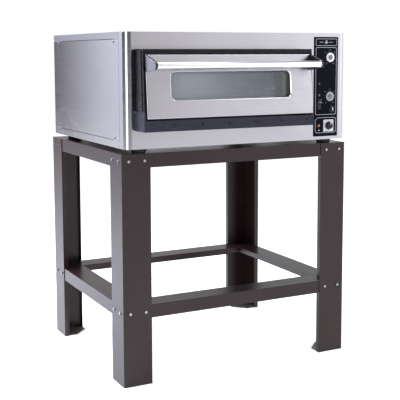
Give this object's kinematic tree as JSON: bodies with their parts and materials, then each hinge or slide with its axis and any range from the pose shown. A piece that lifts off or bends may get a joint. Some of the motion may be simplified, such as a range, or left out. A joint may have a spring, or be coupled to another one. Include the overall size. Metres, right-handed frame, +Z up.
{
  "type": "deck oven",
  "caption": "Single-deck electric pizza oven on a painted angle-steel stand, with a drop-down glazed door, tube handle and side control panel.",
  "frame": {"origin": "on the floor under the middle of the whole object", "axes": "+X to the right as a cook faces the door, +Y to the back, +Z up"},
  "size_m": [0.991, 1.0007, 1.316],
  "materials": {
    "stand_paint": "satin taupe-brown powder coat",
    "zinc": "bright zinc plate",
    "plate_steel": "oiled mild steel plate",
    "stainless": "brushed stainless steel",
    "aluminised": "aluminised sheet steel",
    "surround_black": "satin black enamel",
    "rubber": "matt moulded rubber",
    "stone": "sintered refractory clay",
    "element": "heat-tinted element sheath",
    "wool": "mineral wool",
    "glass": "tempered clear glass",
    "glass_lamp": "borosilicate glass",
    "panel_black": "gloss blue-black panel film",
    "knob_silver": "satin silver-grey moulding",
    "knob_black": "satin black moulding",
    "switch_white": "light grey moulding",
    "lamp_amber": "translucent amber lens",
    "component_grey": "moulded component case",
    "gland_black": "nylon"
  },
  "bodies": {
    "oven": {"leg_front_left": "stand_paint", "leg_front_right": "stand_paint", "leg_rear_left": "stand_paint", "leg_rear_right": "stand_paint", "top_rail_front": "stand_paint", "top_rail_right": "stand_paint", "top_rail_rear": "stand_paint", "top_rail_left": "stand_paint", "shelf_rail_front": "stand_paint", "shelf_rail_right": "stand_paint", "shelf_rail_rear": "stand_paint", "shelf_rail_left": "stand_paint", "foot_plates": "plate_steel", "stand_fasteners": "zinc", "oven_feet": "rubber", "base_tray": "stainless", "top_cover": "stainless", "front_fascia": "stainless", "side_panel_left": "stainless", "side_panel_right": "stainless", "back_panel": "aluminised", "frame_posts": "aluminised", "casing_screws": "zinc", "surround_cheek_left": "surround_black", "surround_cheek_right": "surround_black", "surround_lintel": "surround_black", "surround_sill": "surround_black", "chamber_liner": "aluminised", "baking_stones": "stone", "heater_bottom": "element", "heater_top": "element", "insulation_slabs": "wool", "insulation_wrap": "wool", "heat_shield": "aluminised", "lamp_housing": "aluminised", "lamp_lens": "glass_lamp", "lamp_bulb": "glass_lamp", "contactors": "component_grey", "terminal_block": "component_grey", "cable_gland": "gland_black", "thermostats": "component_grey", "cam_switch_bodies": "component_grey", "control_panel": "panel_black", "main_switch_plate": "switch_white", "rocker_housing": "gland_black", "indicator_lamps": "lamp_amber"},
    "door": {"door_skin": "stainless", "door_inner_pan": "aluminised", "door_insulation": "wool", "door_glass_outer": "glass", "door_glass_inner": "glass", "handle_tube": "stainless", "handle_brackets": "surround_black", "hinge_pins": "zinc", "door_screws": "zinc"},
    "upper_dial": {"thermostat_knob_top": "knob_silver"},
    "lower_dial": {"thermostat_knob_bottom": "knob_silver"},
    "selector": {"selector_knob": "knob_black"},
    "main_switch": {"main_switch_knob": "knob_black"},
    "rocker": {"light_rocker": "knob_black"}
  },
  "joints": [
    {"name": "door_hinge", "type": "hinge", "parent": "oven", "child": "door", "pos_m": [-0.085, -0.4127, 1.026], "axis": [1, 0, 0], "range_deg": [0, 90]},
    {"name": "upper_dial_turn", "type": "hinge", "parent": "oven", "child": "upper_dial", "pos_m": [0.4025, -0.3387, 1.22], "axis": [0, 1, 0], "range_deg": [0, 290]},
    {"name": "lower_dial_turn", "type": "hinge", "parent": "oven", "child": "lower_dial", "pos_m": [0.4025, -0.3387, 1.064], "axis": [0, 1, 0], "range_deg": [0, 290]},
    {"name": "selector_turn", "type": "hinge", "parent": "oven", "child": "selector", "pos_m": [0.4105, -0.3387, 1.012], "axis": [0, 1, 0], "range_deg": [0, 180]},
    {"name": "main_switch_turn", "type": "hinge", "parent": "oven", "child": "main_switch", "pos_m": [0.3975, -0.3387, 0.947], "axis": [0, 1, 0], "range_deg": [0, 90]},
    {"name": "rocker_tip", "type": "hinge", "parent": "oven", "child": "rocker", "pos_m": [0.352, -0.3372, 1.0245], "axis": [1, 0, 0], "range_deg": [0, 14]}
  ]
}
